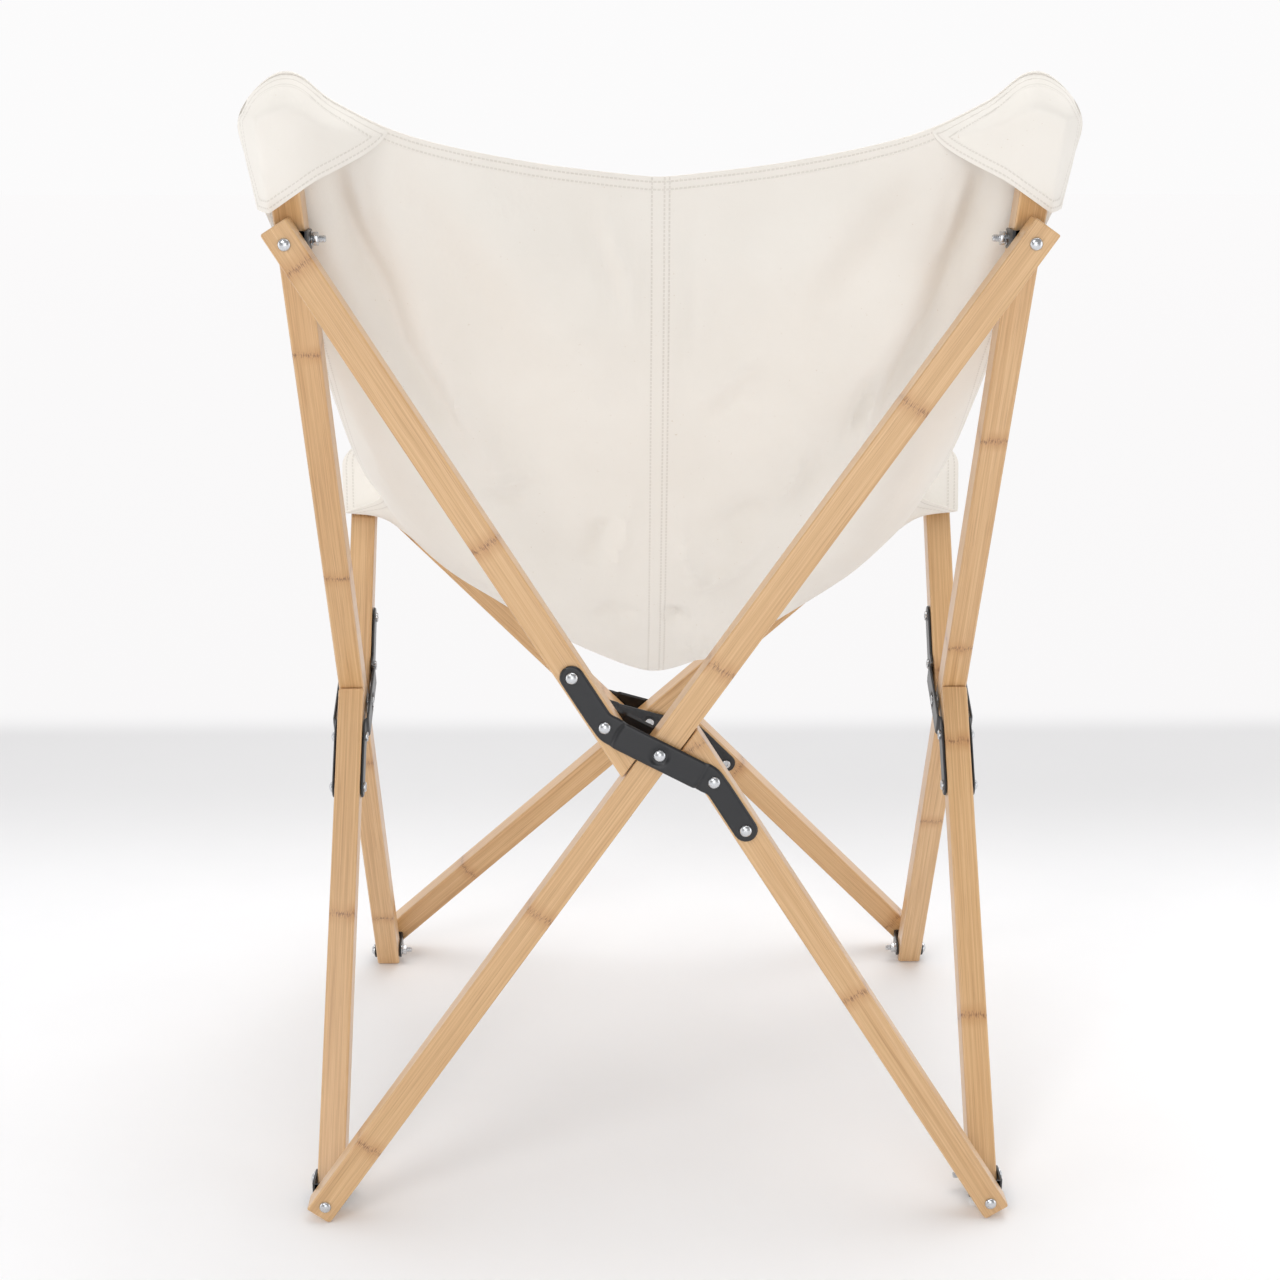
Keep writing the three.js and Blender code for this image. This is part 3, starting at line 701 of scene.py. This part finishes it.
# Ribs from the top edge over the seat to the front edge; each from the middle seam to the side edge (mm)
RIBS = [
    [
        (0, -62, 871), (104, -42, 885), (194, 2, 907),
        (248, 36, 934), (278, 60, 957), (318, 53, 946),
    ],
    [
        (0, -70, 800), (104, -56, 811), (194, -28, 830),
        (248, -10, 850), (278, 2, 862), (315, 3, 861),
    ],
    [
        (0, -88, 730), (104, -80, 739), (192, -64, 757),
        (246, -54, 778), (274, -48, 792), (301, -45, 800),
    ],
    [
        (0, -112, 648), (104, -110, 656), (190, -107, 676),
        (240, -110, 699), (266, -114, 712), (290, -120, 722),
    ],
    [
        (0, -147, 559), (104, -149, 571), (190, -157, 597),
        (240, -171, 629), (264, -181, 649), (286, -191, 667),
    ],
    [
        (0, -193, 469), (104, -198, 489), (188, -217, 527),
        (236, -239, 567), (260, -251, 591), (282, -263, 614),
    ],
    [
        (0, -251, 393), (104, -259, 440), (188, -285, 488),
        (236, -305, 525), (257, -315, 547), (276, -325, 572),
    ],
    [
        (0, -323, 380), (104, -331, 422), (188, -348, 464),
        (234, -365, 499), (252, -373, 521), (268, -379, 540),
    ],
    [
        (0, -386, 407), (104, -391, 429), (192, -401, 463),
        (240, -405, 493), (270, -398, 515), (309, -401, 520),
    ],
    [
        (0, -441, 437), (110, -441, 447), (205, -437, 469),
        (252, -421, 505), (279, -439, 578), (313, -438, 580),
    ],
]
POCKET = 31  # mm, how far a pocket stands off over a tip


def smooth(points, t):
    """A uniform Catmull-Rom curve through points, at t from 0 to 1."""
    points = [np.asarray(p, float) for p in points]
    points = [2 * points[0] - points[1], *points, 2 * points[-1] - points[-2]]
    place = min(max(t, 0.0), 1.0) * (len(points) - 3)
    i = min(int(place), len(points) - 4)
    f = place - i
    a, b, c, d = points[i : i + 4]
    v0, v1 = (c - a) / 2, (d - b) / 2
    return (2 * b - 2 * c + v0 + v1) * f**3 + (-3 * b + 3 * c - 2 * v0 - v1) * f**2 + v0 * f + b


def sling_point(column, u, v):
    last = len(column) - 1
    place = v * last
    if place <= 1:
        p = column[0] + (column[1] - column[0]) * place
    elif place >= last - 1:
        p = column[last - 1] + (column[last] - column[last - 1]) * (place - last + 1)
    else:
        p = smooth(column[1:last], (place - 1) / (last - 2))
    return np.array([math.copysign(p[0], u) if u else 0.0, p[1], p[2]])


CORNERS = (34, 26)  # mm, the rounding of the back and front corners
SLING_HALF, SLING_DOWN = 200, 776  # mm, near enough its size, for those corners


def rounded(s, e, radius):
    """Distances from a side and an end, drawn in where both are within the corner's radius."""
    if s >= radius or e >= radius:
        return s, e
    p, q = 1 - s / radius, 1 - e / radius
    return radius * (1 - p * math.sqrt(1 - q * q / 2)), radius * (1 - q * math.sqrt(1 - p * p / 2))


def sling_at(column_of, u, v):
    """A point of the sewn sling: corners rounded, side edges swelling at the back, the seam's V softened."""
    s, e = (1 - abs(u)) * SLING_HALF, v * SLING_DOWN
    if v < 0.5:
        s, e = rounded(s, e, CORNERS[0])
    else:
        s, e = rounded(s, SLING_DOWN - e, CORNERS[1])
        e = SLING_DOWN - e
    v, share = e / SLING_DOWN, 1 - s / SLING_HALF
    side = math.copysign(1, u) if u else 0
    p = sling_point(column_of(share), side, v)
    if share < 0.3:
        soft = 0.015 + 0.02 * float(ease(v / 0.4))
        p[1:] = sling_point(column_of(share + soft * math.exp(-share / soft)), side, v)[1:]
    swell = 7 * math.exp(-(((p[2] - 915) / 36) ** 2)) * float(ease((share - 0.8) / 0.2))
    p[0] += side * swell
    return p


COLUMNS = {}


def column_of(share):
    key = round(share, 5)
    if key not in COLUMNS:
        COLUMNS[key] = [smooth(rib, share) for rib in RIBS]
    return COLUMNS[key]


def cloth_sheet(name, points, attributes, thickness):
    """A closed canvas sheet over a grid of points, with a named attribute for each table of numbers."""
    obj = grid_piece(name, points, lambda p: world(*p), attributes)
    modify(obj, "SOLIDIFY", thickness=thickness * MM, offset=0)
    obj.data.materials.append(CANVAS)
    take(obj)
    bpy.ops.object.shade_smooth_by_angle(angle=math.radians(50))
    return obj


def distances(points, axis):
    """Arc length along rows (axis 1) or columns (axis 0), in metres."""
    step = np.linalg.norm(np.diff(points, axis=axis), axis=2) * MM
    start = np.zeros_like(np.take(step, [0], axis=axis))
    return np.concatenate([start, np.cumsum(step, axis=axis)], axis=axis)


# Each fold: width and height in mm (up is out, behind the chair), and its line as (across, along) shares
FOLDS = [
    (22, 15, [(0.50, 0.19), (0.43, 0.26), (0.37, 0.30), (0.30, 0.37), (0.22, 0.44)]),
    (17, -20, [(0.64, 0.03), (0.60, 0.12), (0.56, 0.18), (0.46, 0.27), (0.36, 0.35), (0.29, 0.43)]),
    (7, 5, [(0.585, 0.05), (0.555, 0.12), (0.505, 0.18)]),
    (26, 14, [(-0.53, 0.17), (-0.40, 0.25), (-0.31, 0.30), (-0.24, 0.35)]),
    (17, -20, [(-0.63, 0.03), (-0.61, 0.14), (-0.56, 0.21), (-0.46, 0.29), (-0.38, 0.37)]),
    (7, 5, [(-0.575, 0.06), (-0.55, 0.13), (-0.50, 0.18)]),
    (7, 5, [(0.075, 0.0), (0.07, 0.07), (0.045, 0.13), (0.03, 0.23)]),
    (9, -5, [(0.11, 0.0), (0.105, 0.07), (0.08, 0.13), (0.06, 0.2)]),
    (6, -5, [(-0.05, 0.0), (-0.05, 0.26)]),
    (6, 5.5, [(0.31, 0.415), (0.25, 0.40), (0.19, 0.383)]),
    (9, -7, [(0.31, 0.435), (0.22, 0.425)]),
    (7, 7, [(-0.035, 0.39), (-0.05, 0.48), (-0.08, 0.525), (-0.13, 0.51), (-0.21, 0.465)]),
    (19, -11, [(-0.095, 0.48), (-0.13, 0.45), (-0.18, 0.42)]),
    (7, 6, [(0.085, 0.54), (0.055, 0.46), (0.035, 0.38)]),
    (12, -7, [(0.11, 0.50), (0.08, 0.43)]),
    (7, 5, [(-0.06, 0.30), (-0.11, 0.27), (-0.16, 0.245)]),
    (9, -5, [(-0.08, 0.325), (-0.15, 0.28)]),
    (16, -9, [(0.11, 0.56), (0.03, 0.58)]),
    (14, -8, [(-0.02, 0.57), (-0.05, 0.56)]),
    (7, 6, [(-0.045, 0.57), (-0.07, 0.64), (-0.10, 0.70)]),
    (7, 6, [(-0.365, 0.38), (-0.41, 0.27)]),
    (9, -8, [(-0.335, 0.38), (-0.375, 0.27)]),
    (5, 5, [(-0.205, 0.44), (-0.265, 0.36)]),
    (9, -5, [(-0.235, 0.45), (-0.29, 0.38)]),
    (5, 5, [(0.375, 0.28), (0.325, 0.36)]),
    (34, 8, [(0.39, 0.0), (0.30, 0.07), (0.15, 0.21), (0.09, 0.33)]),
    (34, 8, [(-0.38, 0.0), (-0.29, 0.07), (-0.17, 0.22)]),
    (24, -8, [(0.46, 0.02), (0.36, 0.12), (0.25, 0.24)]),
    (24, -8, [(-0.46, 0.02), (-0.36, 0.12), (-0.25, 0.24)]),
]


def fold_height(points, line, width, rise):
    """How far a fold along a line of surface points lifts each point, fading out at the fold's ends."""
    line = np.array([sling_at(column_of, u, v) for u, v in line])
    lengths = np.linalg.norm(np.diff(line, axis=0), axis=1)
    starts = np.concatenate([[0], np.cumsum(lengths)])
    best = np.full(points.shape[:2], 1e9)
    place = np.zeros_like(best)
    for a, b, length, start in zip(line, line[1:], lengths, starts):
        t = np.clip((points - a) @ (b - a) / length**2, 0, 1)
        off = np.linalg.norm(points - a - t[..., None] * (b - a), axis=2)
        place = np.where(off < best, start + t * length, place)
        best = np.minimum(best, off)
    fade = ease(np.minimum(place, starts[-1] - place) / (starts[-1] * 0.4) + 0.12)
    return rise * fade * np.exp(-((best / width) ** 2))


def waves(rows, columns, seed, scale):
    """Smooth random heights from -1 to 1 over a grid, from a few sines."""
    r = np.random.default_rng(seed)
    y, x = np.mgrid[0:1 : rows * 1j, 0:1 : columns * 1j]
    total = np.zeros((rows, columns))
    for _ in range(9):
        fx, fy, phase = r.uniform(-scale, scale), r.uniform(-scale, scale), r.uniform(0, 2 * math.pi)
        total += np.sin(2 * math.pi * (fx * x + fy * y) + phase)
    return total / 9


def build_sling():
    half, rows = 80, 196
    across = [i / half for i in range(-half, half + 1)]
    down = [i / rows for i in range(rows + 1)]
    points = np.array([[sling_at(column_of, u, v) for u in across] for v in down])
    uu, vv = np.meshgrid(across, down)
    normal = np.cross(np.gradient(points, axis=1), np.gradient(points, axis=0))
    normal /= np.linalg.norm(normal, axis=2, keepdims=True) + 1e-9
    height = sum(fold_height(points, line, width, rise) for width, rise, line in FOLDS)
    height += 3.0 * waves(rows + 1, len(across), 5, 3.0) + 1.6 * waves(rows + 1, len(across), 8, 8.0)
    # The folds die away towards the top edge, the front pockets and the sides
    calm = np.clip(np.minimum(vv * 12, (0.9 - vv) * 14), 0, 1) * np.clip((1 - np.abs(uu)) * 9, 0, 1)
    points = points + normal * (height * calm)[..., None]
    along = distances(points, 0)
    sideways = distances(points, 1)
    middle = sideways[:, [half]]
    seam = sideways - middle
    total_across, total_down = sideways[:, [-1]], along[[-1], :]
    to_side = np.minimum(sideways, total_across - sideways)
    to_end = np.minimum(along, total_down - along)
    hem = np.minimum(to_side, to_end)
    run = np.where(to_side < to_end, along, sideways)
    facts = {"hem": hem, "seam": seam, "run": run, "down": along}
    obj = cloth_sheet("sling_cloth", points, facts, 1.5)
    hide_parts("sling")
    flat = (float(total_across.max()), float(total_down.max()))
    patches = np.cross(np.gradient(points, axis=1), np.gradient(points, axis=0))
    area = float(np.linalg.norm(patches, axis=2).sum()) * MM**2
    return obj, flat, area


FAR_FROM_SEAM = 9.0


def pocket(name, side, end, off, inner, drop):
    """A pocket patch over a bar's tip, as a sheet that stands off the sling between its sewn edges."""
    columns, rows = 48, 28
    off = np.array(off)
    spans = len(RIBS) - 1
    start = abs(sling_at(column_of, side * inner, 0)[0])
    points = np.zeros((rows + 1, columns + 1, 3))
    for j in range(columns + 1):
        share = inner + (0.995 - inner) * j / columns
        widening = ((share - inner) / (1 - inner)) ** 0.62 if end == 0 else 1
        for i in range(rows + 1):
            fall = i / rows * drop * max(widening, 0.02)
            depth = (0.02 + fall) / spans
            p = sling_at(column_of, side * share, depth if end == 0 else 1 - depth)
            x = abs(p[0])
            rise_in = min(max((x - start) / 78 if end == 0 else (x - 262) / 11, 0), 1)
            rise_out = min(max((321 - x) / 18, 0), 1) ** (0.8 if end == 0 else 0.6)
            bulge = math.sin(rise_in * math.pi / 2) ** 1.1 * rise_out
            away = 1 - (1 - min(fall * 9.0, 1)) ** 2.2
            points[i, j] = p + off * (POCKET * bulge * away + 1.2)
    if (side < 0) != (end == 1):
        points = points[:, ::-1]
    along, sideways = distances(points, 0), distances(points, 1)
    to_mouth = along[[-1], :] - along
    to_side = np.minimum(sideways, sideways[:, [-1]] - sideways)
    facts = {
        "hem": np.minimum(to_mouth, np.minimum(along, to_side)),
        "seam": np.full_like(along, FAR_FROM_SEAM),
        "run": np.where(to_mouth < to_side, sideways, along),
        "down": along,
    }
    return cloth_sheet(name, points, facts, 1.3)


# ---------- build ----------

BAMBOO = bamboo_material()
BLACK, ZINC = metal_materials()
CANVAS = canvas_material()


def corner_points():
    back_top, front_low = Vector((0, BACK_HEIGHT)), Vector((-FOOT_DEPTH, 0))
    pivot = front_low.lerp(back_top, PIVOT_SHARE)
    front_top = pivot * (FRONT_HEIGHT / pivot.y)
    return back_top, front_low, pivot, front_top


def build_frames():
    back_top, front_low, pivot, front_top = corner_points()
    span = front_top - front_low
    turn = math.asin((FRONT_TOP_REACH - FRONT_LOW_REACH) / span.length)
    up = span.normalized()
    up.rotate(Matrix.Rotation(turn, 2))
    out = Vector((-up.y, up.x))
    rise = span.dot(up)

    back = Plane(world(0, BACK_REACH + SEAT + BAR / 2, 0), (-1, 0, 0), (0, 0, 1))
    hinges = [(-HALF, 0), (HALF, BACK_HEIGHT), (HALF, 0), (-HALF, BACK_HEIGHT)]
    scissor("back", back, hinges, 0.5, HEAD_OVERRUN, HEAD_OVERRUN, True, True)

    plane = FRONT_LOW_REACH + SEAT + BAR / 2
    origin = world(0, front_low.x + out.x * plane, front_low.y + out.y * plane)
    front = Plane(origin, (1, 0, 0), (0, up.x, up.y))
    hinges = [(HALF, 0), (-HALF, rise), (-HALF, 0), (HALF, rise)]
    scissor("front", front, hinges, 0.5, END_OVERRUN, END_OVERRUN, False, False)
    face_bolt("front_top_left_face_bolt", front, Vector((HALF, rise)))
    face_bolt("front_top_right_face_bolt", front, Vector((-HALF, rise)))
    face_bolt("front_bottom_right_face_bolt", front, Vector((-HALF, 0)))

    back_way = (Vector((0, 1, 0)), Vector((0, 0, 1)))
    front_way = (Vector((0, out.x, out.y)), Vector((0, up.x, up.y)))
    corners = (
        ("bottom_back", Vector((0, 0)), BACK_REACH, back_way, ("left", "right")),
        ("top_back", back_top, BACK_REACH, back_way, ("left", "right")),
        ("bottom_front", front_low, FRONT_LOW_REACH, front_way, ("left",)),
        ("top_front", front_top, FRONT_TOP_REACH, front_way, ()),
    )
    for name, side in (("left", 1), ("right", -1)):
        plane = Plane(world(side * HALF, 0, 0), (0, side, 0), (0, 0, 1))
        hinges = [(side * front_low.x, 0), (0, BACK_HEIGHT), (0, 0), (side * front_top.x, front_top.y)]
        scissor(name, plane, hinges, PIVOT_SHARE, BACK_TIP, FRONT_TIP, True, False)
        for place, hinge, reach, way, studs in corners:
            at = world(side * HALF, hinge.x, hinge.y)
            cross_bolt(f"{place}_{name}_cross_bolt", at, side)
            corner_fork(f"{place}_{name}_fork", at, reach, *way, name in studs)


def dress_sling():
    back_top, front_low, pivot, front_top = corner_points()
    rise = (back_top - front_low).normalized()
    leg = -half_bar(front_top, pivot, front_low)[0]
    behind, before = (0, rise.y, -rise.x), (0, -leg.y, leg.x)
    obj, flat, area = build_sling()
    patches = []
    for name, side in (("left", 1), ("right", -1)):
        patches.append(pocket(f"back_{name}_pocket", side, 0, behind, 0.455, 1.0))
        patches.append(pocket(f"front_{name}_pocket", side, 1, before, 0.7, 0.25))
    for piece in [obj, *patches]:
        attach(piece, "left_whole")
        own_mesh(piece)
    area = min(area, flat[0] * flat[1])


build_frames()
dress_sling()
for prototype in PROTOTYPES.values():
    bpy.data.objects.remove(prototype, do_unlink=True)


# ---------- stage ----------


def build_stage():
    deselect()
    bpy.ops.mesh.primitive_plane_add(size=24, location=(0, 0, -0.0005))
    floor = bpy.context.object
    floor.name = "floor"
    shader = Shader("floor_paper", roughness=0.85, base_color=rgb(238, 236, 235))
    place = shader.node("TexCoord")[3]
    y = Value(shader, shader.node("SeparateXYZ", None, {0: place})[1])
    uneven = shader.noise(shader_vector(shader, (1, 1, 1)), 3.0, 5.0, 0.6)
    # Behind the chair a soft grey band of painted shade darkens the paper where a backdrop's curve would
    # fall into shade, and beyond that it is as bright as the backdrop
    far = y.below(-1.24, 0.16)
    band = (y.below(-0.9, 0.5) - far).most(0.0)
    near = shader.mix(uneven, rgb(241, 241, 242), rgb(249, 249, 250))
    # painted shade: the band mixes a grey into the paper's colour
    near = shader.mix(band * 0.62, near, rgb(214, 213, 213))
    shader.feed("Base Color", shader.mix(far, near, (0, 0, 0, 1)))
    shader.surface.inputs["Emission Strength"].default_value = 1
    shader.feed("Emission Color", shader.mix(far, (0.022, 0.024, 0.026, 1), (0.915, 0.906, 0.908, 1)))
    shader.feed("Roughness", 0.85 + far * 0.15)
    floor.data.materials.append(shader.material)


def light(name, location, aim, size, power):
    data = bpy.data.lights.new(name, "AREA")
    data.energy, data.size = power, size
    obj = bpy.data.objects.new(name, data)
    bpy.context.scene.collection.objects.link(obj)
    obj.location = location
    obj.rotation_euler = (Vector(aim) - Vector(location)).to_track_quat("-Z", "Y").to_euler()


def build_camera():
    data = bpy.data.cameras.new("camera")
    data.lens, data.sensor_width, data.sensor_fit = 61.9, 36, "HORIZONTAL"
    obj = bpy.data.objects.new("camera", data)
    bpy.context.scene.collection.objects.link(obj)
    obj.location = world(34.6, 1766, 989)
    obj.rotation_mode = "QUATERNION"
    obj.rotation_quaternion = Vector((-0.0104, -0.9634, -0.2681)).to_track_quat("-Z", "Y")
    bpy.context.scene.camera = obj


build_stage()
build_camera()
light("key", (1.6, 3.3, 3.0), (0, 0.1, 0.55), 1.5, 36)
light("front", (-0.1, 3.5, 0.95), (0, 0.2, 0.55), 1.8, 17)
light("left", (2.7, 0.7, 0.75), (0, 0, 0.6), 1.7, 10)
light("right", (-2.7, 0.9, 0.75), (0, 0, 0.6), 1.7, 12)
light("top", (-0.4, -0.3, 3.2), (0, 0, 0.4), 2.2, 33)


def build_sky():
    """White in front of the sitter, and darker behind the camera, where the lamps stand."""
    sky = bpy.data.worlds.new("studio")
    bpy.context.scene.world = sky
    sky.use_nodes = True
    tree = sky.node_tree
    place = tree.nodes.new("ShaderNodeTexCoord")
    split = tree.nodes.new("ShaderNodeSeparateXYZ")
    tree.links.new(place.outputs["Generated"], split.inputs[0])
    grade = tree.nodes.new("ShaderNodeMapRange")
    for key, value in zip(("From Min", "From Max", "To Min", "To Max"), (-0.6, 0.5, 0.97, 0.38)):
        grade.inputs[key].default_value = value
    grade.interpolation_type = "SMOOTHSTEP"
    tree.links.new(split.outputs[1], grade.inputs[0])
    tree.links.new(grade.outputs[0], tree.nodes["Background"].inputs[1])
    tree.nodes["Background"].inputs[0].default_value = (1, 0.995, 0.997, 1)


build_sky()
bpy.context.scene.view_settings.view_transform = "Standard"
